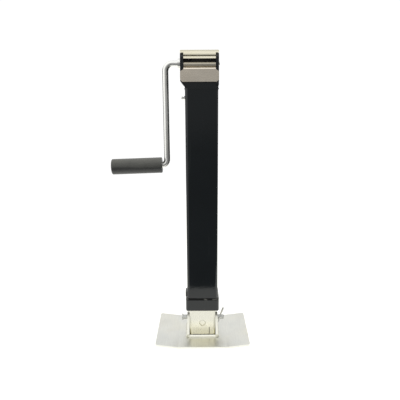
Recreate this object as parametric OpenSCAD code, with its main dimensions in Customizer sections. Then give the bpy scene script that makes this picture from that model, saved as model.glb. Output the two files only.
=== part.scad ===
// Side-wind trailer tongue jack with a square post, a bevel-gear head, a drop crank
// and a pinned, removable foot plate. Millimetres, +Z up, front is -Y, crank on -X.
// The origin is on the post's axis at the underside of the foot plate.

/* [Post] */
// Outside width of the square outer post
tube_w = 65; // [64:0.5:66]
// Wall thickness of the outer post
tube_wall = 3.75; // [3.25:0.05:3.8]
// Outside corner radius of the outer post
tube_r = 6; // [4:0.5:8]
// Bottom end of the outer post above the floor
tube_z0 = 70; // [66:1:76]
// Top end of the outer post, under the gear head
tube_z1 = 533; // [530:1:535]

/* [Ram] */
// Outside width of the square inner ram tube
ram_w = 56.5; // [54:0.5:56.8]
// Wall thickness of the ram tube
ram_wall = 3; // [2.5:0.1:3.5]
// Top end of the ram tube when retracted
ram_z1 = 505; // [498:1:508]
// Diameter of the round hole in the front and back of the ram
ram_hole_d = 13.5; // [10:0.5:16]

/* [Foot] */
// Length of the foot plate across the wings
foot_x = 200; // [170:1:220]
// Depth of the foot plate
foot_y = 138; // [100:1:150]
// Thickness of the foot plate
foot_t = 4; // [3:0.5:4.5]
// Upward slope of the wings in degrees
wing_a = 7.2; // [3:0.1:8]
// Half width of the flat middle of the plate
flat_x = 52; // [44:1:56]
// Height of the cross pin above the floor
pin_z = 37; // [35:0.5:39]

/* [Gear head] */
// Height of the crank shaft's axis above the floor
axis_z = 581.7; // [580:0.1:583]
// Outer face of the left cheek
head_x0 = -40.9; // [-42:0.1:-39]
// Outer face of the right cheek
head_x1 = 33.2; // [32:0.1:35]
// Thickness of the cheeks
cheek_t = 6.2; // [5.5:0.1:6.2]
// Half depth of the gear case
head_y = 35; // [34:0.5:36]
// Distance of the cap screws from the middle
screw_y = 24; // [23.5:0.5:24]
// Top of the cheeks
cheek_z = 597.5; // [596:0.5:598]

/* [Gears] */
// Teeth on the crank's bevel pinion
pinion_n = 12; // [12:1:12]
// Teeth on the screw's bevel gear
gear_n = 22; // [22:1:22]
// Large-end module of the bevel gears
gear_m = 2.25; // [2.2:0.01:2.25]
// Face width of the bevel gears
gear_face = 7; // [5:0.5:8]

/* [Crank] */
// Diameter of the crank rod
rod_d = 12.7; // [11:0.1:13]
// Distance of the crank's arm from the post axis
arm_x = 71.8; // [68:0.1:76]
// Height of the handle's axis where the grip begins
grip_z = 381.1; // [360:0.1:420]
// Droop of the handle in degrees
droop = 1.84; // [0:0.1:3]
// Diameter of the hand grip
grip_d = 32.3; // [26:0.5:34]
// Length of the hand grip
grip_len = 103.9; // [90:0.1:120]

/* [Screw] */
// Diameter of the lead screw
screw_d = 20; // [18:0.5:22]
// Lower end of the lead screw
screw_z0 = 86; // [84:1:88]

/* [Hidden] */
$fn = 48;
e = 0.01;
ti = tube_w - 2*tube_wall;
ri = ram_w - 2*ram_wall;
pit_p = pinion_n*gear_m/2;                 // pinion pitch radius
pit_g = gear_n*gear_m/2;                   // gear pitch radius
cone = sqrt(pit_p*pit_p + pit_g*pit_g);    // cone distance
ang_g = atan(pit_g/pit_p);                 // gear's pitch cone half angle
ang_p = 90 - ang_g;                        // pinion's pitch cone half angle
in0 = head_x0 + cheek_t + 0.2;             // inner face of the left cheek
in1 = head_x1 - cheek_t + 0.3;             // inner face of the right cheek
black = "#1b1c1e";
zinc = "#cfc9b6";
steel = "#8d8f90";

// ---- shared shapes ----
// a square of width w with corners of radius r
module rsq(w, r) {
  difference() {
    square(w, center = true);
    for (a = [0:3]) rotate(a*90) translate([w/2 - r, w/2 - r]) difference() {
      square(r + 1);
      circle(r);
    }
  }
}
// a square pipe from z0 to z1
module sqpipe(w, r, wi, ri, z0, z1)
  translate([0, 0, z0]) linear_extrude(z1 - z0) difference() { rsq(w, r); rsq(wi, ri); }
// a rod along X from x0 to x1
module xrod(d, x0, x1, y = 0, z = 0)
  translate([x0, y, z]) rotate([0, 90, 0]) cylinder(d = d, h = x1 - x0);
// a profile drawn in YZ and extruded along X from x0 to x1
module xprof(x0, x1)
  translate([x0, 0, 0]) rotate([90, 0, 90]) linear_extrude(x1 - x0) children();
// a profile drawn in XZ and extruded along Y from y0 to y1
module yprof(y0, y1)
  translate([0, y1, 0]) rotate([90, 0, 0]) linear_extrude(y1 - y0) children();
// a weld bead of triangular section around a square post
module bead(w, r, s, z0) {
  t = [[0, 0], [s, 0], [s*0.55, s*0.75], [0, s]];
  for (a = [0:3]) rotate(a*90) {
    translate([w/2, w/2 - r, z0]) rotate([90, 0, 0]) linear_extrude(w - 2*r) polygon(t);
    translate([w/2 - r, w/2 - r, z0]) rotate_extrude(angle = 90)
      polygon([for (p = t) [p[0] + r, p[1]]]);
  }
}

// ---- post ----
module outer_tube() color(black)
  difference() {
    sqpipe(tube_w, tube_r, ti, tube_r - tube_wall, tube_z0, tube_z1);
    xrod(5, -tube_w, -20, 0, 515.8);
  }
module bottom_collar() color(black) {
  difference() {
    translate([0, 0, 68.6]) linear_extrude(25.1) rsq(71.4, 8);
    translate([0, 0, tube_z0]) linear_extrude(40) rsq(tube_w + 0.04, tube_r);
    translate([0, 0, 60]) linear_extrude(20) rsq(ti, tube_r - tube_wall);
    // eased lower edges
    for (a = [0:3]) rotate(a*90) translate([35.7, 0, 68.6]) rotate([0, 45, 0])
      cube([2.4, 90, 2.4], center = true);
  }
}
module collar_weld() color(black) bead(tube_w + 0.04, tube_r, 3, 93.7);
module side_pad() color(black)
  translate([-tube_w/2 - 3.6, -25, 98.6]) cube([3.6, 18, 10.8]);
module grease_fitting() color(zinc) {
  translate([-tube_w/2 - 2.6, 0, 515.8]) rotate([0, 90, 0]) cylinder(d = 8, h = 2.6, $fn = 6);
  xrod(4.9, -tube_w/2 - 0.1, -tube_w/2 + 2.8, 0, 515.8);
  difference() {
    union() {
      xrod(4.2, -tube_w/2 - 5.4, -tube_w/2 - 2.5, 0, 515.8);
      xrod(6, -tube_w/2 - 7.75, -tube_w/2 - 5.3, 0, 515.8);
    }
    xrod(1.4, -tube_w/2 - 9, -tube_w/2 - 6, 0, 515.8);
  }
}

// ---- gear head, fixed pieces ----
module cheek_outline() polygon([[-head_y, 538], [head_y, 538], [head_y, cheek_z - 7],
  [head_y - 1.6, cheek_z - 3.4], [head_y - 5.4, cheek_z], [-head_y + 5.4, cheek_z],
  [-head_y + 1.6, cheek_z - 3.4], [-head_y, cheek_z - 7]]);
module gear_case() color(black) difference() {
  union() {
    // cheeks
    xprof(head_x0, in0) cheek_outline();
    xprof(in1, head_x1) cheek_outline();
    // floor between the cheeks, flush with the post front and rear
    translate([head_x0 + 1, -tube_w/2, 538]) cube([head_x1 - head_x0 - 2, tube_w, 7]);
    // throat that spreads sideways from the post to the cheeks
    yprof(-tube_w/2, tube_w/2) polygon([[-tube_w/2, tube_z1], [tube_w/2, tube_z1], [tube_w/2, 537],
      [head_x1, 541.5], [head_x1, 545], [head_x0 + 1, 545], [head_x0, 545.9], [-tube_w/2, 535.8]]);
    // spigot inside the post
    translate([0, 0, 523]) linear_extrude(12) rsq(ti - 0.2, tube_r - tube_wall);
  }
  // the cheeks follow the throat's slope at the bottom
  yprof(-60, 60) polygon([[-tube_w/2 - e, 535.8], [head_x0 - 3, 549.49], [-60, 549.5], [-60, 500], [-tube_w/2 - e, 500]]);
  yprof(-60, 60) polygon([[tube_w/2 + e, 500], [tube_w/2 + e, 537], [head_x1 + 3, 543.8], [60, 543.8], [60, 500]]);
  for (s = [-1, 1]) translate([0, s*(tube_w/2 + e), 0]) rotate([0, 0, s > 0 ? 0 : 180])
    xprof(-60, 60) polygon([[0, 500], [0, 535], [head_y - tube_w/2, 540], [20, 540], [20, 500]]);
  // hollow of the throat, and the screw's bore in the floor
  translate([0, 0, 520]) linear_extrude(18) rsq(51, 3);
  translate([0, 0, 530]) cylinder(d = 20.05, h = 20);
  // shaft bushes and tie rods
  xrod(18.05, head_x0 - 5, 0, 0, axis_z);
  xrod(13.05, 0, head_x1 + 5, 0, axis_z);
  for (s = [-1, 1]) xrod(7.05, head_x0 - 5, head_x1 + 5, s*29, 576.4);
}
module case_weld() color(black) difference() {
  translate([0, 0, 531.4]) linear_extrude(1.6) rsq(tube_w + 2.4, tube_r + 1.2);
  translate([0, 0, 530]) linear_extrude(4) rsq(tube_w + 0.04, tube_r);
}
module cover() {
  // flat flap over the cheeks' front edges, with cut corners
  yprof(-head_y - 1.5, -head_y) polygon([[head_x0 + 4, 544.5], [head_x1 - 4, 544.5], [head_x1 + 0.2, 548.8],
    [head_x1 + 0.2, 563.5], [in1 - 0.2, 567.6], [in0 + 0.2, 567.6], [head_x0 - 0.2, 563.5], [head_x0 - 0.2, 548.8]]);
  // rolled top that turns in between the cheeks
  xprof(in0 + 0.2, in1 - 0.2) difference() {
    union() {
      translate([-head_y + 2.1, 567.6]) circle(3.6);
      translate([-head_y + 2.1, 569.7]) square([5.4, 1.5]);
    }
    translate([-head_y + 2.1, 567.6]) circle(2.1);
    translate([-head_y - 3, 560]) square([20, 7.6]);
    translate([-head_y + 2.1, 560]) square([20, 9.7]);
  }
}
module front_cover() color(zinc) cover();
module rear_cover() color(zinc) mirror([0, 1, 0]) cover();
module cap_outline(r) {
  for (s = [-1, 1]) translate([s*25, 593]) circle(r);
  translate([-25, 580]) square([50, 13 + r]);
}
module top_cap() color(zinc) difference() {
  // bent sheet with quarter-round front and rear edges
  xprof(head_x0 - 0.1, head_x1 + 0.1) difference() {
    cap_outline(11);
    cap_outline(9);
    translate([-50, 575]) square([100, 17.6]);
  }
  // broken edges at both ends
  for (x = [head_x0 - 0.1, head_x1 + 0.1]) translate([x, 0, 604]) rotate([0, 45, 0]) cube([2.6, 90, 2.6], center = true);
  // the lower edges fit between the cheeks
  translate([head_x0 - 2, -50, 580]) cube([in0 + 0.2 - head_x0 + 2, 100, cheek_z - 579.7]);
  translate([in1 - 0.2, -50, 580]) cube([head_x1 - in1 + 3, 100, cheek_z - 579.7]);
  // countersunk screw holes
  for (x = [-24, 18], s = [-1, 1]) translate([x, s*screw_y, 0]) {
    translate([0, 0, 585]) cylinder(d = 5.2, h = 25);
    translate([0, 0, 601.15]) cylinder(d1 = 5.2, d2 = 9, h = 2.41);
    translate([0, 0, 603.55]) cylinder(d = 9, h = 3);
  }
}
// bars that tie the cheeks, with posts that the cap is screwed to
module cap_rails() color(zinc) difference() {
  union() {
    for (s = [-1, 1]) xprof(in0 + 0.2, in1 - 0.2)
      polygon([[s*34.9, 587.1], [s*33.6, 591.9], [s*19.6, 591.9], [s*19.6, 587.1]]);
    for (x = [-24, 18], s = [-1, 1]) translate([x, s*screw_y, 591]) cylinder(d = 8.8, h = 10.2);
  }
  for (x = [-24, 18], s = [-1, 1]) translate([x, s*screw_y, 580]) cylinder(d = 4.9, h = 30);
}
module cap_screws() color(steel) for (x = [-24, 18], s = [-1, 1]) translate([x, s*screw_y, 0]) difference() {
  union() {
    translate([0, 0, 585]) cylinder(d = 4.8, h = 16.3);
    translate([0, 0, 601.2]) cylinder(d1 = 4.8, d2 = 8.6, h = 2.3);
  }
  translate([0, 0, 602]) cylinder(d = 3.4, h = 3, $fn = 6);
}
module tie_rods() color(zinc) for (s = [-1, 1]) {
  xrod(10.3, in0 + 0.05, in1 - 0.05, s*29, 576.4);
  xrod(6.95, head_x0 - 0.05, head_x1 + 0.05, s*29, 576.4);
}
module dust_shields() color(black) for (s = [-1, 1])
  translate([in0 + 0.05, s > 0 ? 17.6 : -19.2, 573.6]) cube([in1 - in0 - 0.1, 1.6, 27.6]);
module left_bushing() color("#9a7b45") difference() {
  union() {
    xrod(18, head_x0 - 0.6, in0 + 0.1, 0, axis_z);
    xrod(23, in0 + 0.02, in0 + 0.9, 0, axis_z);
  }
  xrod(rod_d + 0.1, -60, 0, 0, axis_z);
}
module right_bushing() color("#9a7b45") difference() {
  union() {
    xrod(13, in1 - 0.1, head_x1 + 0.4, 0, axis_z);
    xrod(19, in1 - 1.5, in1 - 0.02, 0, axis_z);
  }
  xrod(8.1, 0, 60, 0, axis_z);
}
module screw_bushing() color("#9a7b45") difference() {
  union() {
    translate([0, 0, 538]) cylinder(d = 20, h = 8);
    translate([0, 0, 545.02]) cylinder(d = 30, h = 1.5);
  }
  translate([0, 0, 530]) cylinder(d = 16.1, h = 20);
}
ball_z = 534.1;
module race(z0, z1) difference() {
  translate([0, 0, z0]) cylinder(d = 44, h = z1 - z0);
  translate([0, 0, z0 - 1]) cylinder(d = 20.4, h = 9);
  translate([0, 0, ball_z]) rotate_extrude() translate([16, 0]) circle(2.58);
}
module thrust_race_upper() color(steel) race(534.8, 537.98);
module thrust_balls() color(steel) for (i = [0:13]) rotate(i*360/14) translate([16, 0, ball_z]) sphere(2.5);

// ---- screw, turns about Z ----
module lead_screw() color(steel) difference() {
  union() {
    translate([0, 0, screw_z0]) cylinder(d = screw_d, h = 526 - screw_z0);
    translate([0, 0, 525.9]) cylinder(d = 16, h = 46.1);
  }
  translate([-20, 0, 90.4]) rotate([0, 90, 0]) cylinder(d = 4.02, h = 40);
  translate([0, 20, 551.5]) rotate([90, 0, 0]) cylinder(d = 4.02, h = 40);
}
module screw_collar() color(steel) difference() {
  translate([0, 0, 526.05]) cylinder(d = 36, h = 4);
  translate([0, 0, 520]) cylinder(d = 16.05, h = 20);
}
module thrust_race_lower() color(steel) difference() {
  translate([0, 0, 530.1]) cylinder(d = 44, h = 3.2);
  translate([0, 0, 520]) cylinder(d = 16.3, h = 20);
  translate([0, 0, ball_z]) rotate_extrude() translate([16, 0]) circle(2.58);
}
// A bevel gear whose axis is Z and whose apex is at the origin, below which it lies.
// The tooth flanks are planes through the apex, as on a true straight bevel.
function cone_pt(half, c, o) = [c*sin(half) + o*cos(half), -c*cos(half) + o*sin(half)];
module bevel_teeth(n, half, thick, press) {
  ad = 0.8*gear_m; de = 1.2*gear_m;
  c0 = cone - gear_face; c1 = cone;
  k = c0/c1;
  difference() {
    rotate_extrude() polygon([cone_pt(half, c0, ad*k), cone_pt(half, c1, ad), cone_pt(half, c1, -de - 0.8), cone_pt(half, c0, (-de - 0.8)*k)]);
    for (i = [0:n-1]) rotate([0, 0, (i + 0.5)*360/n]) rotate([0, -half, 0])
      gap(thick, press);
  }
}
// The gap between two teeth: pitch line runs down -Z after the caller's tilt, +X points outward.
module gap(thick, press) {
  // half width of the gap at the pitch line, per unit of cone distance
  w = (PI*gear_m*(1 - thick)/2)/cone;
  ad = 1.6*gear_m/cone; de = 1.2*gear_m/cone;
  wt = w + ad*tan(press); wb = w - de*tan(press);
  L = cone + 6;
  // a pyramid from the apex with planar sides
  polyhedron(points = [[0, 0, 0], [-de*L, -wb*L, -L], [-de*L, wb*L, -L], [ad*L, wt*L, -L], [ad*L, -wt*L, -L]],
    faces = [[0, 1, 2], [0, 2, 3], [0, 3, 4], [0, 4, 1], [1, 4, 3, 2]]);
}
module bevel_gear() color(steel) difference() {
  union() {
    translate([0, 0, axis_z]) bevel_teeth(gear_n, ang_g, 0.4, 20);
    // web that carries the tooth ring
    translate([0, 0, axis_z]) rotate_extrude() polygon([[8, -24.2], [17, -24.2],
      cone_pt(ang_g, cone - 0.3, -1.2*gear_m - 0.6), cone_pt(ang_g, cone - gear_face + 0.3, -1.2*gear_m*0.75 - 0.4),
      [14, -11.2], [8, -11.2]]);
    translate([0, 0, 546.8]) cylinder(d = 28, h = 23);
  }
  translate([0, 0, 540]) cylinder(d = 16.05, h = 40);
  translate([0, 20, 551.5]) rotate([90, 0, 0]) cylinder(d = 4.02, h = 40);
}
module gear_pin() color(steel) translate([0, 13.5, 551.5]) rotate([90, 0, 0]) cylinder(d = 4, h = 27);
module stop_washer() color(steel) difference() {
  translate([0, 0, 93]) cylinder(d = 34, h = 3);
  translate([0, 0, 90]) cylinder(d = screw_d + 0.05, h = 10);
}
module stop_pin() color(steel) translate([-15, 0, 90.4]) rotate([0, 90, 0]) cylinder(d = 4, h = 30);

// ---- crank, turns about the shaft's axis ----
bend_r = 14;
low_r = 11;
low_t = low_r*tan((90 - droop)/2);
elbow_z = grip_z + tan(droop)*(82.2 - arm_x) + low_t;
grip_x = -82.2;
module crank_handle() color(zinc) difference() {
  union() {
    xrod(rod_d, -arm_x + bend_r, in1 - 1.8, 0, axis_z);
    xrod(8, in1 - 2, head_x1 + 2.2, 0, axis_z);
    translate([head_x1 + 2.19, 0, axis_z]) rotate([0, 90, 0]) cylinder(d1 = 8, d2 = 5.6, h = 1);
    translate([-arm_x + bend_r, 0, axis_z - bend_r]) rotate([90, 0, 0]) rotate([0, 0, 90])
      rotate_extrude(angle = 90) translate([bend_r, 0]) circle(d = rod_d);
    translate([-arm_x, 0, elbow_z]) cylinder(d = rod_d, h = axis_z - bend_r - elbow_z);
    translate([-arm_x - low_r, 0, elbow_z]) rotate([-90, 0, 0]) {
      rotate_extrude(angle = 90 - droop) translate([low_r, 0]) circle(d = rod_d);
      rotate([0, 0, 90 - droop]) translate([low_r, -0.3, 0]) rotate([-90, 0, 0]) cylinder(d = rod_d + 0.02, h = 104);
    }
  }
  translate([-30.3, 0, axis_z - 20]) cylinder(d = 4.02, h = 40);
}
module crank_collar() color(zinc) difference() {
  xrod(20, -46.9, -41.9, 0, axis_z);
  xrod(rod_d + 0.05, -60, -30, 0, axis_z);
}
module bevel_pinion() color(steel) difference() {
  union() {
    translate([0, 0, axis_z]) rotate([0, 90, 0]) rotate([0, 0, 180/pinion_n])
      bevel_teeth(pinion_n, ang_p, 0.4, 20);
    xrod(20, -33.4, -25.6, 0, axis_z);
    xrod(16, -27, -13, 0, axis_z);
  }
  xrod(rod_d + 0.05, -60, 0, 0, axis_z);
  translate([-30.3, 0, axis_z - 20]) cylinder(d = 4.02, h = 40);
}
module pinion_pin() color(steel) translate([-30.3, 0, axis_z - 9]) cylinder(d = 4, h = 18);
// the handle's own frame: X runs along the handle's axis, 0 at the start of the grip
module on_handle() translate([grip_x, 0, grip_z]) rotate([0, -droop, 0]) children();
module grip() color("#4a4a46") on_handle() difference() {
  union() {
    rotate([0, -90, 0]) translate([0, 0, 1.2]) cylinder(d = grip_d, h = grip_len - 2.4);
    rotate([0, -90, 0]) cylinder(d1 = grip_d - 2.4, d2 = grip_d, h = 1.2);
    rotate([0, -90, 0]) translate([0, 0, grip_len - 1.2]) cylinder(d1 = grip_d, d2 = grip_d - 2.4, h = 1.2);
  }
  rotate([0, -90, 0]) translate([0, 0, -1]) cylinder(d = rod_d + 0.15, h = grip_len + 2);
  rotate([0, -90, 0]) translate([0, 0, grip_len - 5]) cylinder(d = 22, h = 10);
  rotate([0, -90, 0]) translate([0, 0, -1]) cylinder(d = 15, h = 2.6);
}
module grip_retainer() color(zinc) on_handle() rotate([0, -90, 0]) translate([0, 0, grip_len - 4.4]) difference() {
  cylinder(d = 20.5, h = 1.6);
  translate([0, 0, -1]) cylinder(d = rod_d + 0.04, h = 5);
}

// ---- ram, slides along Z ----
module ram_tube() color(zinc) difference() {
  sqpipe(ram_w, 6, ri, 3, 10.5, ram_z1);
  // drain slot in the lower front edge
  translate([14.2, -ram_w/2 - 1, 10]) cube([1.3, 6, 17]);
  translate([0, 60, pin_z]) rotate([90, 0, 0]) cylinder(d = ram_hole_d, h = 120);
  xrod(10.5, -60, 60, 0, pin_z);
  xrod(6.04, -60, 60, 0, 491);
}
// plugs that close the unused cross holes, a little sunk with a broken edge
module ram_plugs() color(zinc) for (a = [0, 180]) rotate(a) translate([0, 0.4 - ram_w/2, pin_z]) rotate([-90, 0, 0])
  rotate_extrude() polygon([[0, 0], [5.5, 0], [ram_hole_d/2 - 0.03, 0.9], [ram_hole_d/2 - 0.03, 2.5], [0, 2.5]]);
module ram_nut() color(steel) difference() {
  translate([0, 0, 480]) linear_extrude(23) rsq(ri - 0.1, 3);
  translate([0, 0, 470]) cylinder(d = screw_d + 0.15, h = 60);
  xrod(6.04, -60, 60, 0, 491);
}
module nut_pins() color(steel) for (s = [-1, 1]) xrod(6, s > 0 ? 14 : -ram_w/2, s > 0 ? ram_w/2 : -14, 0, 491);
ear_i = ram_w/2 + 0.35;                     // inner faces of the bracket
ear_d = sqrt(32.6*32.6 + (pin_z - 12)*(pin_z - 12));
ear_a = atan2(12 - pin_z, 32.6) + acos(12/ear_d);
module ear_outline() {
  translate([0, pin_z]) circle(12);
  polygon([[-32.6, foot_t], [32.6, foot_t], [32.6, 12], [12*cos(ear_a), pin_z + 12*sin(ear_a)],
    [-12*cos(ear_a), pin_z + 12*sin(ear_a)], [-32.6, 12]]);
}
module foot_bracket() color(zinc) difference() {
  intersection() {
    yprof(-32.6, 32.6) difference() {
      union() {
        translate([-ear_i - 5, 9]) square([2*ear_i + 10, 60]);
        translate([-ear_i, foot_t]) square([2*ear_i, 10]);
        for (s = [-1, 1]) translate([s*ear_i, 9]) circle(5);
      }
      translate([-ear_i, 9.5]) square([2*ear_i, 80]);
    }
    xprof(-40, 40) ear_outline();
  }
  // broken front and rear edges of the web
  for (s = [-1, 1]) xprof(-ear_i, ear_i) polygon([[s*32.7, 6.7], [s*32.7, 9.6], [s*29.8, 9.6]]);
  xrod(10.5, -60, 60, 0, pin_z);
}
wx = flat_x + (foot_x/2 - flat_x);
wz = tan(wing_a)*(foot_x/2 - flat_x);
module foot_plate() color(zinc) difference() {
  yprof(-foot_y/2, foot_y/2) polygon([[-flat_x, 0], [flat_x, 0], [wx, wz], [wx, wz + foot_t],
    [flat_x, foot_t], [-flat_x, foot_t], [-wx, wz + foot_t], [-wx, wz]]);
  for (sx = [-1, 1], sy = [-1, 1]) translate([sx*(foot_x/2 - 5), sy*(foot_y/2 - 5), -1]) difference() {
    translate([sx > 0 ? 0 : -6, sy > 0 ? 0 : -6]) cube([6, 6, 30]);
    translate([0, 0, -1]) cylinder(r = 5, h = 40);
  }
}
module foot_welds() color(zinc) for (s = [-1, 1])
  yprof(-28, 28) difference() {
    polygon([[s*(ear_i + 0.5), foot_t], [s*(ear_i + 9), foot_t], [s*(ear_i + 7.6), foot_t + 2.6],
      [s*(ear_i + 5.02), foot_t + 5], [s*(ear_i + 4), foot_t + 5]]);
    translate([s*ear_i, 9]) circle(5.02);
    translate([s > 0 ? ear_i - 9 : -ear_i, 0]) square([9, 20]);
  }

// ---- foot pin and its clip ----
clip_x = 38.2;
lean = 20;
module foot_pin() color(zinc) difference() {
  union() {
    xrod(10, -44, 47, 0, pin_z);
    xrod(14, -45.6, -42.8, 0, pin_z);
    translate([46.99, 0, pin_z]) rotate([0, 90, 0]) cylinder(d1 = 10, d2 = 7, h = 1.4);
  }
  translate([clip_x, 0, pin_z]) rotate([0, lean, 0]) cylinder(d = 3.4, h = 30, center = true);
}
// Hairpin clip of 2.6 wire: a straight leg through the pin, an eye above and a bowed leg beside the pin
wire = 2.6;
module seg(a, b) {
  d = b - a;
  L = norm(d);
  translate(a) rotate([0, acos(d[2]/L), atan2(d[1], d[0])]) cylinder(d = wire, h = L);
  translate(b) sphere(d = wire + 0.16);
}
module hairpin_clip() color(steel) translate([clip_x, 0, pin_z]) rotate([0, lean, 0]) {
  translate([0, 0, -6.5]) cylinder(d = wire, h = 27.5);
  translate([0, -3.6, 21]) rotate([90, 0, 90]) rotate_extrude(angle = 200) translate([3.6, 0]) circle(d = wire);
  translate([0, -3.6 - 3.6*cos(20), 21 - 3.6*sin(20)]) sphere(d = wire + 0.16);
  seg([0, -3.6 - 3.6*cos(20), 21 - 3.6*sin(20)], [0, -4.9, 12]);
  seg([0, -4.9, 12], [0, -8.2, 4]);
  seg([0, -8.2, 4], [0, -8.2, -5]);
  seg([0, -8.2, -5], [0, -9.6, -7.5]);
}

outer_tube();
bottom_collar();
collar_weld();
side_pad();
grease_fitting();
gear_case();
case_weld();
front_cover();
rear_cover();
top_cap();
cap_rails();
cap_screws();
tie_rods();
dust_shields();
left_bushing();
right_bushing();
screw_bushing();
thrust_race_upper();
thrust_balls();
lead_screw();
screw_collar();
thrust_race_lower();
bevel_gear();
gear_pin();
stop_washer();
stop_pin();
crank_handle();
crank_collar();
bevel_pinion();
pinion_pin();
grip_retainer();
grip();
ram_tube();
ram_plugs();
ram_nut();
nut_pins();
foot_bracket();
foot_plate();
foot_welds();
foot_pin();
hairpin_clip();
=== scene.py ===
import bpy, bmesh, math
from mathutils import Vector, Matrix, noise


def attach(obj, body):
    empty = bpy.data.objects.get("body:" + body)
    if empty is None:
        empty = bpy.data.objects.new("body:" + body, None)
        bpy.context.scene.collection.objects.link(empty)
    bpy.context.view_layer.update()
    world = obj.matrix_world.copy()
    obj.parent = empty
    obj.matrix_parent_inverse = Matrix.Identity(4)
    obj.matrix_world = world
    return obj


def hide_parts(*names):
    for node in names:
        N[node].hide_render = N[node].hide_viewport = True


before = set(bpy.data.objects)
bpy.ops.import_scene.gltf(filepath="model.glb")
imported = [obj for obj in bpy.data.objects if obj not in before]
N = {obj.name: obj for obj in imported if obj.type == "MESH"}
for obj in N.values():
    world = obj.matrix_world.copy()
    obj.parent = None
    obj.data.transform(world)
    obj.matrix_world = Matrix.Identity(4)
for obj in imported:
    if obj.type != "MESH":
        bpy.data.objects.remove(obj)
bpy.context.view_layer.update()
mm = 0.001

# ------------------------------------------------------------------ node helpers
class Mat:
    """A small wrapper that builds a node material."""
    def __init__(self, name):
        self.m = bpy.data.materials.new(name)
        self.m.use_nodes = True
        self.t = self.m.node_tree
        self.t.nodes.clear()
        self.out = self.t.nodes.new("ShaderNodeOutputMaterial")
        self.b = self.t.nodes.new("ShaderNodeBsdfPrincipled")
        self.t.links.new(self.b.outputs[0], self.out.inputs[0])
        self.tc = self.t.nodes.new("ShaderNodeTexCoord")
        self.bump_in = None

    def set(self, **k):
        for a, v in k.items():
            self.b.inputs[a.replace("_", " ")].default_value = v

    def mapped(self, scale=(1, 1, 1), rot=(0, 0, 0)):
        n = self.t.nodes.new("ShaderNodeMapping")
        n.inputs["Scale"].default_value = scale
        n.inputs["Rotation"].default_value = rot
        self.t.links.new(self.tc.outputs["Object"], n.inputs["Vector"])
        return n.outputs[0]

    def noise(self, scale, detail=4, rough=0.55, vec=None, distort=0.0):
        n = self.t.nodes.new("ShaderNodeTexNoise")
        n.inputs["Scale"].default_value = scale
        n.inputs["Detail"].default_value = detail
        n.inputs["Roughness"].default_value = rough
        n.inputs["Distortion"].default_value = distort
        self.t.links.new(vec or self.tc.outputs["Object"], n.inputs["Vector"])
        return n.outputs["Fac"]

    def voronoi(self, scale, feature="F1", vec=None):
        n = self.t.nodes.new("ShaderNodeTexVoronoi")
        n.feature = feature
        n.inputs["Scale"].default_value = scale
        self.t.links.new(vec or self.tc.outputs["Object"], n.inputs["Vector"])
        return n.outputs["Distance"]

    def ramp(self, fac, stops, interp="LINEAR"):
        n = self.t.nodes.new("ShaderNodeValToRGB")
        n.color_ramp.interpolation = interp
        e = n.color_ramp.elements
        while len(e) < len(stops):
            e.new(0.5)
        for el, (p, c) in zip(e, stops):
            el.position = p
            el.color = c if len(c) == 4 else (*c, 1)
        self.t.links.new(fac, n.inputs[0])
        return n.outputs[0]

    def remap(self, fac, a, b, lo=0.0, hi=1.0):
        n = self.t.nodes.new("ShaderNodeMapRange")
        n.inputs["From Min"].default_value = a
        n.inputs["From Max"].default_value = b
        n.inputs["To Min"].default_value = lo
        n.inputs["To Max"].default_value = hi
        self.t.links.new(fac, n.inputs["Value"])
        return n.outputs[0]

    def math(self, op, a, b):
        n = self.t.nodes.new("ShaderNodeMath")
        n.operation = op
        for i, v in enumerate((a, b)):
            if isinstance(v, (int, float)):
                n.inputs[i].default_value = v
            else:
                self.t.links.new(v, n.inputs[i])
        return n.outputs[0]

    def mix(self, fac, a, b, mode="MIX"):
        n = self.t.nodes.new("ShaderNodeMix")
        n.data_type = "RGBA"
        n.blend_type = mode
        for sock, v in ((n.inputs[0], fac), (n.inputs[6], a), (n.inputs[7], b)):
            if isinstance(v, (int, float)):
                sock.default_value = v
            elif isinstance(v, tuple):
                sock.default_value = v if len(v) == 4 else (*v, 1)
            else:
                self.t.links.new(v, sock)
        return n.outputs[2]

    def bump(self, height, strength, dist):
        n = self.t.nodes.new("ShaderNodeBump")
        n.inputs["Strength"].default_value = strength
        n.inputs["Distance"].default_value = dist
        self.t.links.new(height, n.inputs["Height"])
        if self.bump_in:
            self.t.links.new(self.bump_in, n.inputs["Normal"])
        self.bump_in = n.outputs[0]
        self.t.links.new(n.outputs[0], self.b.inputs["Normal"])
        return n.outputs[0]

    def link(self, out, socket):
        self.t.links.new(out, self.b.inputs[socket])

    def xyz(self, vec=None):
        n = self.t.nodes.new("ShaderNodeSeparateXYZ")
        self.t.links.new(vec or self.tc.outputs["Object"], n.inputs[0])
        return n.outputs


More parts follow.
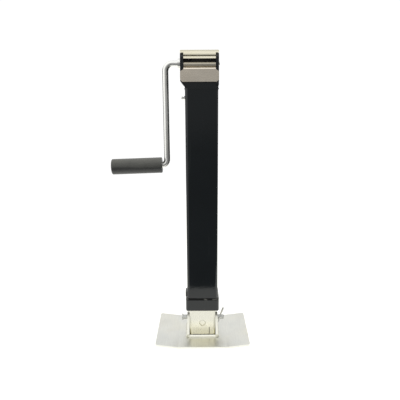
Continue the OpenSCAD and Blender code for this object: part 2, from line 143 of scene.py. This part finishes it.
def black_paint(name, rough=0.09, dust=0.35, low=(0.0010, 0.0031, 0.0043), high=(0.0023, 0.0051, 0.0066)):
    """Glossy black enamel: orange peel, faint smudges, fine dust and a few scuffs."""
    M = Mat(name)
    M.set(Metallic=0.0, IOR=1.52)
    big = M.noise(9, 5, 0.6)
    fine = M.noise(420, 3, 0.6)
    scratch = M.noise(60, 6, 0.7, vec=M.mapped((1.0, 1.0, 0.06)))
    base = M.ramp(big, [(0.3, low), (0.7, high)])
    specks = M.ramp(M.voronoi(260), [(0.0, (1, 1, 1)), (0.06, (0, 0, 0))])
    patch = M.ramp(M.noise(18, 4, 0.6), [(0.5, (0, 0, 0)), (0.72, (1, 1, 1))])
    specks = M.math("MULTIPLY", specks, patch)
    base = M.mix(M.math("MULTIPLY", specks, 0.35 * dust), base, (0.16, 0.155, 0.145))
    scuff = M.ramp(scratch, [(0.62, (0, 0, 0)), (0.70, (1, 1, 1))])
    base = M.mix(M.math("MULTIPLY", scuff, 0.035), base, (0.20, 0.20, 0.20))
    M.link(base, "Base Color")
    r = M.remap(big, 0.3, 0.7, rough - 0.04, rough + 0.06)
    r = M.math("ADD", r, M.math("MULTIPLY", scuff, 0.10))
    r = M.math("ADD", r, M.math("MULTIPLY", specks, 0.4))
    M.link(r, "Roughness")
    M.bump(M.noise(150, 2, 0.5), 0.10, 0.0004)   # orange peel
    M.bump(fine, 0.05, 0.0001)
    return M.m


def weld_black(name):
    """Enamel over a rough weld: near black, a little darker where the bump noise is low as painted shade in the
    hollows, with lighter patches as painted highlights on the lumps.
    """
    M = Mat(name)
    M.set(Metallic=0.0, IOR=1.40)
    M.b.inputs["Specular IOR Level"].default_value = 0.30
    n = M.noise(230, 4, 0.6)
    # painted highlight: lighter grey patches stand in for glints on the weld lumps
    painted_glint_patch = M.ramp(M.noise(75, 2, 0.5), [(0.54, (0, 0, 0)), (0.60, (1, 1, 1))])
    # painted shade: darker where the bump noise is low, in the hollows
    c = M.ramp(n, [(0.3, (0.0008, 0.0010, 0.0010)), (0.75, (0.004, 0.004, 0.0035))])
    M.link(M.mix(painted_glint_patch, c, (0.085, 0.085, 0.075)), "Base Color")
    M.link(M.remap(n, 0.3, 0.7, 0.30, 0.50), "Roughness")
    M.bump(n, 0.25, 0.0008)
    return M.m


def zinc(name, tint=(0.80, 0.775, 0.69), cold=(0.72, 0.74, 0.74), warm=(0.80, 0.72, 0.50), rough=0.30,
         grain=(1.0, 0.06, 1.0), grain_strength=0.05, spread=1.0, wave=0.02, foot=None, mottle=0.07):
    """Satin zinc plating: slow colour drift, fine rolling grain, small spangles, handling scratches."""
    M = Mat(name)
    M.set(Metallic=1.0)
    drift = M.noise(14, 3, 0.5, distort=0.6)
    drift2 = M.noise(31, 4, 0.6)
    c = M.ramp(drift, [(0.32, cold), (0.5, tint), (0.70, warm)])
    c = M.mix(0.5 * spread, (*tint, 1), c)
    blot = M.ramp(drift2, [(0.35, (1 - mottle,) * 3), (0.62, (1.0, 1.0, 1.0))])
    c = M.mix(1.0, c, blot, "MULTIPLY")
    if foot:   # painted light: brighter, yellower colour towards the lower end, standing in for light reflected up from the foot plate
        z = M.math("ADD", M.xyz()[2], M.math("MULTIPLY", M.math("SUBTRACT", drift2, 0.5), 0.012))
        c = M.mix(M.remap(z, foot[1], foot[0], 0.0, 1.0), c, foot[2])
    grain_n = M.noise(900, 3, 0.6, vec=M.mapped(grain))
    c = M.mix(M.remap(grain_n, 0.42, 0.62, 0.0, 0.12), c, (0.50, 0.49, 0.46))
    pits = M.ramp(M.voronoi(340), [(0.0, (1, 1, 1)), (0.05, (0, 0, 0))])
    pits = M.math("MULTIPLY", pits, M.ramp(M.noise(40, 3, 0.6), [(0.52, (0, 0, 0)), (0.66, (1, 1, 1))]))
    c = M.mix(M.math("MULTIPLY", pits, 7 * mottle), c, (0.30, 0.28, 0.24))
    M.link(c, "Base Color")
    r = M.remap(drift2, 0.3, 0.7, rough - 0.8 * mottle, rough + 1.3 * mottle)
    r = M.math("ADD", r, M.math("MULTIPLY", pits, 0.25))
    M.link(r, "Roughness")
    M.bump(grain_n, grain_strength, 0.0001)
    M.bump(M.noise(60, 2, 0.5), wave, 0.0008)
    return M.m


def steel(name, col=(0.42, 0.42, 0.43), rough=0.34, oil=0.0):
    M = Mat(name)
    M.set(Metallic=1.0)
    n = M.noise(55, 5, 0.6)
    g = M.noise(1200, 2, 0.6, vec=M.mapped((1, 1, 0.05)))
    c = M.ramp(n, [(0.3, tuple(0.72 * x for x in col)), (0.7, tuple(1.15 * x for x in col))])
    c = M.mix(M.remap(g, 0.4, 0.65, 0.0, 0.25), c, (0.18, 0.18, 0.18))
    if oil:
        c = M.mix(M.remap(M.noise(26, 3, 0.5), 0.45, 0.6, 0.0, oil), c, (0.10, 0.055, 0.02))
    M.link(c, "Base Color")
    M.link(M.remap(n, 0.3, 0.7, rough - 0.08, rough + 0.12), "Roughness")
    M.bump(g, 0.08, 0.0003)
    return M.m


def bronze(name):
    M = Mat(name)
    M.set(Metallic=1.0)
    n = M.noise(300, 5, 0.7)
    M.link(M.ramp(n, [(0.3, (0.30, 0.19, 0.08)), (0.7, (0.62, 0.44, 0.22))]), "Base Color")
    M.link(M.remap(n, 0.3, 0.7, 0.3, 0.5), "Roughness")
    M.bump(n, 0.12, 0.0002)
    return M.m


def grip_plastic(name):
    """Dark grey moulded grip: fine leathery grain, faint drag marks along it and slightly polished patches."""
    M = Mat(name)
    M.set(Metallic=0.0, IOR=1.5)
    big = M.noise(22, 4, 0.55)
    cells = M.voronoi(950)
    fine = M.noise(1500, 3, 0.6)
    drag = M.noise(700, 3, 0.6, vec=M.mapped((0.05, 1.0, 1.0)))
    c = M.ramp(big, [(0.3, (0.120, 0.120, 0.110)), (0.7, (0.155, 0.155, 0.142))])
    c = M.mix(M.remap(cells, 0.0, 0.5, 0.30, 0.0), c, (0.035, 0.035, 0.033))
    c = M.mix(M.remap(drag, 0.55, 0.70, 0.0, 0.22), c, (0.26, 0.26, 0.245))
    c = M.mix(M.remap(M.noise(130, 4, 0.6), 0.58, 0.72, 0.0, 0.25), c, (0.24, 0.24, 0.225))
    # painted light and shade: darkest just below the middle, a little lighter at the very bottom as painted floor
    # bounce, and lighter towards the top as painted light from above
    z = M.math("ADD", M.xyz()[2], M.math("MULTIPLY", M.math("SUBTRACT", M.noise(45, 4, 0.6), 0.5), 0.004))
    painted_light_shade = M.ramp(M.remap(z, 0.3650, 0.3950, 0.0, 1.0), [(0.0, (0.45, 0.45, 0.46)), (0.16, (0.30, 0.30, 0.32)), (0.36, (0.20, 0.21, 0.22)),
                  (0.52, (0.55, 0.56, 0.55)), (0.70, (0.62, 0.63, 0.60)), (0.85, (0.86, 0.86, 0.82)), (1.0, (1.0, 1.0, 0.97))])
    c = M.mix(1.0, c, painted_light_shade, "MULTIPLY")
    M.link(c, "Base Color")
    M.link(M.remap(big, 0.3, 0.7, 0.34, 0.46), "Roughness")
    M.bump(cells, 0.16, 0.00025)
    M.bump(fine, 0.08, 0.0001)
    return M.m


MATS = {
    "paint": black_paint("black_enamel"),
    "paint_case": black_paint("black_enamel_case", rough=0.24, dust=0.35),
    # painted reflection: the inner enamel gets a lighter grey base than the outer enamel; its heavy specks are dust
    "paint_inner_painted_reflection": black_paint("black_enamel_inner", rough=0.42, dust=0.9, low=(0.020, 0.017, 0.016), high=(0.034, 0.029, 0.026)),
    "weld": weld_black("painted_weld"),
    # zinc_ram: its lower end is brightened and yellowed as painted light reflected from the foot plate
    "zinc_ram": zinc("zinc_ram", tint=(0.74, 0.73, 0.65), cold=(0.72, 0.72, 0.67), warm=(0.76, 0.72, 0.57), rough=0.26, grain=(1.0, 1.0, 0.05), spread=0.7, foot=(0.012, 0.046, (0.93, 0.89, 0.69))),
    "zinc_plate": zinc("zinc_plate", tint=(0.87, 0.87, 0.81), cold=(0.83, 0.85, 0.82), warm=(0.88, 0.86, 0.74), rough=0.36, grain=(1.0, 0.05, 1.0), spread=0.8),
    "zinc_bracket": zinc("zinc_bracket", tint=(0.93, 0.92, 0.81), cold=(0.90, 0.90, 0.84), warm=(0.94, 0.90, 0.74), rough=0.28, grain=(1.0, 0.06, 1.0), spread=0.7),
    "zinc_head": zinc("zinc_head", mottle=0.03, tint=(0.93, 0.845, 0.71), cold=(0.91, 0.84, 0.73), warm=(0.95, 0.84, 0.68), rough=0.24, grain=(0.05, 1.0, 1.0), grain_strength=0.04, spread=0.6, wave=0.01),
    "zinc_rod": zinc("zinc_rod", mottle=0.05, tint=(0.96, 0.96, 0.92), cold=(0.94, 0.95, 0.94), warm=(0.97, 0.95, 0.87), rough=0.20, grain=(1.0, 1.0, 0.05), grain_strength=0.03, spread=0.7, wave=0.008),
    "zinc_dull": zinc("zinc_dull", tint=(0.52, 0.49, 0.41), cold=(0.48, 0.47, 0.42), warm=(0.55, 0.49, 0.37), rough=0.38, grain=(0.05, 1.0, 1.0), spread=0.6, wave=0.01),
    # painted shade: the tie rods get a darker zinc than the other head parts, standing in for the shade inside the head
    "zinc_rail_painted_shade": zinc("zinc_rail_painted_shade", mottle=0.03, tint=(0.52, 0.48, 0.39), cold=(0.49, 0.47, 0.40), warm=(0.54, 0.48, 0.35), rough=0.38, grain=(0.05, 1.0, 1.0), grain_strength=0.03, spread=0.6, wave=0.01),
    "zinc_cap": zinc("zinc_cap", mottle=0.04, tint=(0.80, 0.76, 0.60), cold=(0.78, 0.75, 0.63), warm=(0.82, 0.76, 0.55), rough=0.22, grain=(0.05, 1.0, 1.0), grain_strength=0.03, spread=0.6, wave=0.01),
    "black_screw": steel("black_oxide_screw", col=(0.045, 0.045, 0.047), rough=0.36),
    "steel": steel("bare_steel"),
    "steel_oily": steel("greased_steel", col=(0.38, 0.37, 0.35), rough=0.28, oil=0.6),
    "zinc_pin": zinc("zinc_pin", tint=(0.60, 0.61, 0.58), cold=(0.56, 0.58, 0.57), warm=(0.63, 0.62, 0.54), rough=0.24, grain=(0.05, 1.0, 1.0), spread=0.7, wave=0.01),
    "clip": steel("spring_wire", col=(0.74, 0.74, 0.73), rough=0.30),
    "bronze": bronze("sintered_bronze"),
    "grip": grip_plastic("grip_plastic"),
}
USE = {
    "outer_tube": "paint", "bottom_collar": "paint", "side_pad": "paint", "collar_weld": "weld", "case_weld": "paint_case",
    "gear_case": "paint_case", "dust_shields": "paint_inner_painted_reflection", "grease_fitting": "zinc_rod",
    "front_cover": "zinc_head", "rear_cover": "zinc_head", "top_cap": "zinc_cap", "cap_rails": "zinc_cap",
    "cap_screws": "black_screw", "tie_rods": "zinc_rail_painted_shade", "left_bushing": "bronze", "right_bushing": "bronze",
    "screw_bushing": "bronze", "thrust_race_upper": "steel_oily", "thrust_balls": "steel_oily",
    "lead_screw": "steel_oily", "screw_collar": "steel_oily", "thrust_race_lower": "steel_oily",
    "bevel_gear": "steel_oily", "gear_pin": "steel", "stop_washer": "steel_oily", "stop_pin": "steel",
    "crank_handle": "zinc_rod", "crank_collar": "zinc_rod", "bevel_pinion": "steel_oily", "pinion_pin": "steel",
    "grip_retainer": "zinc_rod", "grip": "grip", "ram_tube": "zinc_ram", "ram_plugs": "zinc_ram", "ram_nut": "steel_oily", "nut_pins": "steel",
    "foot_bracket": "zinc_bracket", "foot_plate": "zinc_plate", "foot_welds": "zinc_bracket",
    "foot_pin": "zinc_pin", "hairpin_clip": "clip",
}
BEVEL = {  # node: edge width in mm
    "bottom_collar": 1.1, "outer_tube": 0.35, "gear_case": 0.6, "front_cover": 0.25, "rear_cover": 0.25, "top_cap": 0.3,
    "cap_rails": 0.4, "foot_plate": 0.7, "foot_bracket": 2.3, "side_pad": 0.5, "crank_collar": 0.5, "ram_tube": 0.8, "ram_plugs": 0.3,
    "foot_pin": 0.4, "cap_screws": 0.15, "dust_shields": 0.2, "grip": 0.6, "grease_fitting": 0.12,
}
for name, o in N.items():
    m = MATS[USE[name]]
    o.data.materials.clear()
    o.data.materials.append(m)
    if name in BEVEL:
        b = o.modifiers.new("edge", "BEVEL")
        b.width = BEVEL[name] * mm
        b.segments = 3
        b.limit_method = "ANGLE"
        b.angle_limit = math.radians(32)
        b.harden_normals = True
        b.use_clamp_overlap = True

# ------------------------------------------------------------------ mesh helpers
def new_obj(name, bm, mat, body, replaces=(), smooth=True):
    me = bpy.data.meshes.new(name)
    bmesh.ops.recalc_face_normals(bm, faces=bm.faces)
    bm.to_mesh(me)
    bm.free()
    if smooth:
        for p in me.polygons:
            p.use_smooth = True
    o = bpy.data.objects.new(name, me)
    bpy.context.scene.collection.objects.link(o)
    me.materials.append(mat)
    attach(o, body)
    if replaces:
        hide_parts(*replaces)
    return o


def grid_faces(bm, rings, closed_u=True, closed_v=False, cap=True):
    n = len(rings[0])
    last = len(rings) if closed_v else len(rings) - 1
    for i in range(last):
        a, b = rings[i], rings[(i + 1) % len(rings)]
        for k in range(n if closed_u else n - 1):
            bm.faces.new((a[k], a[(k + 1) % n], b[(k + 1) % n], b[k]))
    if cap and not closed_v:
        bm.faces.new(list(reversed(rings[0])))
        bm.faces.new(rings[-1])


def rounded_square_path(w, r, n_arc=14, n_side=60):
    """Points and outward normals round a square of width w with corner radius r, in metres."""
    pts = []
    h = w / 2
    for c in range(4):
        a0 = c * math.pi / 2
        cx, cy = (h - r) * (1 if c in (0, 3) else -1), (h - r) * (1 if c in (0, 1) else -1)
        for i in range(n_arc):
            a = a0 + (i + 0.5) / n_arc * math.pi / 2
            pts.append((Vector((cx + r * math.cos(a), cy + r * math.sin(a), 0)), Vector((math.cos(a), math.sin(a), 0))))
        a = a0 + math.pi / 2
        nrm = Vector((math.cos(a), math.sin(a), 0))
        p0 = Vector((cx + r * math.cos(a), cy + r * math.sin(a), 0))
        t = Vector((-math.sin(a), math.cos(a), 0))
        for i in range(n_side):
            pts.append((p0 + t * (w - 2 * r) * (i + 0.5) / n_side, nrm))
    return pts


def bead_mesh(bm, path, size, closed=True, seed=0.0, pitch=0.0034, up=1.0, lumps=0.16):
    """A fillet weld with ripples: path is (point, outward normal) in the foot of the corner, z up."""
    rings, s = [], 0.0
    prev = path[0][0]
    for p, n in path:
        s += (p - prev).length
        prev = p
        ph = (s / pitch) % 1.0
        ripple = 0.86 + 0.14 * math.sqrt(max(0.0, 1 - (2 * ph - 1) ** 2))
        wob = 1 + lumps * noise.noise(Vector((s * 60 + seed, seed, 0.3)))
        lean = 0.7 * lumps * noise.noise(Vector((s * 110 + seed, seed, 7.3)))
        sz = min(size * ripple * wob, size)
        ring = []
        prof = [(-0.06, 0.0), (0.30, 0.0), (0.95, 0.0), (0.93, 0.14), (0.88, 0.38), (0.82, 0.60), (0.66, 0.80), (0.40, 0.93), (0.12, 1.0), (-0.06, 1.0), (-0.06, 0.60)]
        for u, v in prof:
            bulge = lean * math.sin(math.pi * min(max(v, 0.0), 1.0))
            ring.append(bm.verts.new(p + n * (sz * min(u + bulge, 0.96)) + Vector((0, 0, up * sz * v))))
        rings.append(ring)
    grid_faces(bm, rings, closed_v=closed, cap=not closed)


# weld bead over the collar
bm = bmesh.new()
path = [(p + Vector((0, 0, 93.72 * mm)), n) for p, n in rounded_square_path(65 * mm, 6 * mm, 16, 90)]
bead_mesh(bm, path, 3.1 * mm, seed=2.7, pitch=0.0052, lumps=0.30)
new_obj("collar_weld_bead", bm, MATS["weld"], "housing", ["collar_weld"])
# weld beads along the bracket on the foot plate
bm = bmesh.new()
for sx in (-1, 1):
    path = []
    for i in range(121):
        y = -28 + 56 * i / 120
        path.append((Vector((sx * 33.2 * mm, y * mm, 4.0 * mm)), Vector((sx, 0, 0))))
    bead_mesh(bm, path, 4.3 * mm, closed=False, seed=4.4 + sx, pitch=0.0042)
new_obj("foot_weld_beads", bm, MATS["zinc_bracket"], "ram", ["foot_welds"])

# ------------------------------------------------------------------ stage, light, camera
def sheet_poly(name, pts, mat):
    bm = bmesh.new()
    bm.faces.new([bm.verts.new(Vector(c)) for c in pts])
    me = bpy.data.meshes.new(name)
    bm.to_mesh(me)
    bm.free()
    o = bpy.data.objects.new(name, me)
    bpy.context.scene.collection.objects.link(o)
    me.materials.append(mat)
    return o


FM = Mat("pale_floor")
FM.set(Roughness=0.9)
FM.b.inputs["Specular IOR Level"].default_value = 0.05
FM.link(FM.ramp(FM.noise(3, 3, 0.5), [(0.3, (0.42, 0.42, 0.42)), (0.7, (0.45, 0.45, 0.45))]), "Base Color")
FM.set(Emission_Color=(1, 1, 0.94, 1))
FM.b.inputs["Emission Strength"].default_value = 0.86
floor = sheet_poly("floor", [(-0.38, -0.30, 0), (0.36, -0.30, 0), (1.35, 1.6, 0), (-1.35, 1.6, 0)], FM.m)
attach(floor, "ram")  # the foot stands on the floor in every pose

world = bpy.data.worlds.new("studio")
bpy.context.scene.world = world
world.use_nodes = True
wt = world.node_tree
wt.nodes.clear()
wo = wt.nodes.new("ShaderNodeOutputWorld")
bg = wt.nodes.new("ShaderNodeBackground")
wt.links.new(bg.outputs[0], wo.inputs[0])
tc = wt.nodes.new("ShaderNodeTexCoord")
sep = wt.nodes.new("ShaderNodeSeparateXYZ")
wt.links.new(tc.outputs["Generated"], sep.inputs[0])


def wmath(op, a, b=None):
    n = wt.nodes.new("ShaderNodeMath")
    n.operation = op
    for i, v in enumerate((a, b)):
        if v is None:
            continue
        if isinstance(v, (int, float)):
            n.inputs[i].default_value = v
        else:
            wt.links.new(v, n.inputs[i])
    return n.outputs[0]


def wramp(fac, stops):
    n = wt.nodes.new("ShaderNodeValToRGB")
    e = n.color_ramp.elements
    while len(e) < len(stops):
        e.new(0.5)
    for el, (p, v) in zip(e, stops):
        el.position = p
        el.color = (v, v, v, 1)
    wt.links.new(fac, n.inputs[0])
    return n.outputs[0]


# 0 front, 0.25 left, 0.5 back, 0.75 right, 1 front
turn = wmath("DIVIDE", wmath("ADD", wmath("ARCTAN2", sep.outputs[0], sep.outputs[1]), math.pi), 2 * math.pi)
horizon = wramp(turn, [(0.0, 0.34), (0.03, 0.40), (0.06, 0.72), (0.09, 0.95), (0.13, 1.02), (0.165, 1.20), (0.20, 1.35), (0.225, 1.10), (0.25, 0.60), (0.28, 0.34), (0.40, 0.34), (0.42, 1.1), (0.58, 1.1), (0.605, 0.30), (0.68, 0.48), (0.82, 0.50), (0.90, 0.30), (1.0, 0.34)])
below = wramp(turn, [(0.0, 0.20), (0.06, 0.31), (0.10, 0.85), (0.21, 1.0), (0.26, 0.50), (0.29, 0.34), (0.40, 0.34), (0.42, 1.1), (0.58, 1.1), (0.605, 0.22), (0.75, 0.215), (1.0, 0.20)])
above = wramp(turn, [(0.0, 1.08), (0.25, 1.15), (0.5, 0.80), (0.75, 0.85), (1.0, 1.08)])


def wmix(fac, a, b):
    n = wt.nodes.new("ShaderNodeMix")
    n.data_type = "RGBA"
    wt.links.new(fac, n.inputs[0])
    wt.links.new(a, n.inputs[6])
    wt.links.new(b, n.inputs[7])
    return n.outputs[2]


def wstep(v, a, b):
    n = wt.nodes.new("ShaderNodeMapRange")
    n.interpolation_type = "SMOOTHSTEP"
    n.inputs["From Min"].default_value = a
    n.inputs["From Max"].default_value = b
    wt.links.new(v, n.inputs["Value"])
    return n.outputs[0]


sky = wmix(wstep(sep.outputs[2], 0.14, 0.66), horizon, above)
sky = wmix(wstep(sep.outputs[2], -0.10, 0.0), below, sky)
wt.links.new(sky, bg.inputs[0])
bg.inputs[1].default_value = 1.0
# the plain pale backdrop itself, all round
plain = wt.nodes.new("ShaderNodeBackground")
plain.inputs[0].default_value = (1.06, 1.06, 1.06, 1)
seen = wt.nodes.new("ShaderNodeLightPath")
pick = wt.nodes.new("ShaderNodeMixShader")
wt.links.new(seen.outputs["Is Camera Ray"], pick.inputs[0])
wt.links.new(bg.outputs[0], pick.inputs[1])
wt.links.new(plain.outputs[0], pick.inputs[2])
wt.links.new(pick.outputs[0], wo.inputs[0])


cam = bpy.data.cameras.new("camera")
cam.sensor_width = 36
cam.lens = 35.9
co = bpy.data.objects.new("camera", cam)
bpy.context.scene.collection.objects.link(co)
co.location = (-0.00415, -0.827, 0.482)
pitch, roll = math.radians(12.0), math.radians(0.28)
co.rotation_mode = "QUATERNION"
fwd = Vector((0, math.cos(pitch), -math.sin(pitch)))
q = fwd.to_track_quat("-Z", "Y")
co.rotation_quaternion = q @ Matrix.Rotation(-roll, 3, "Z").to_quaternion()
cam.clip_start, cam.clip_end = 0.01, 50
bpy.context.scene.camera = co
bpy.context.scene.view_settings.view_transform = "Standard"
bpy.context.scene.view_settings.look = "None"
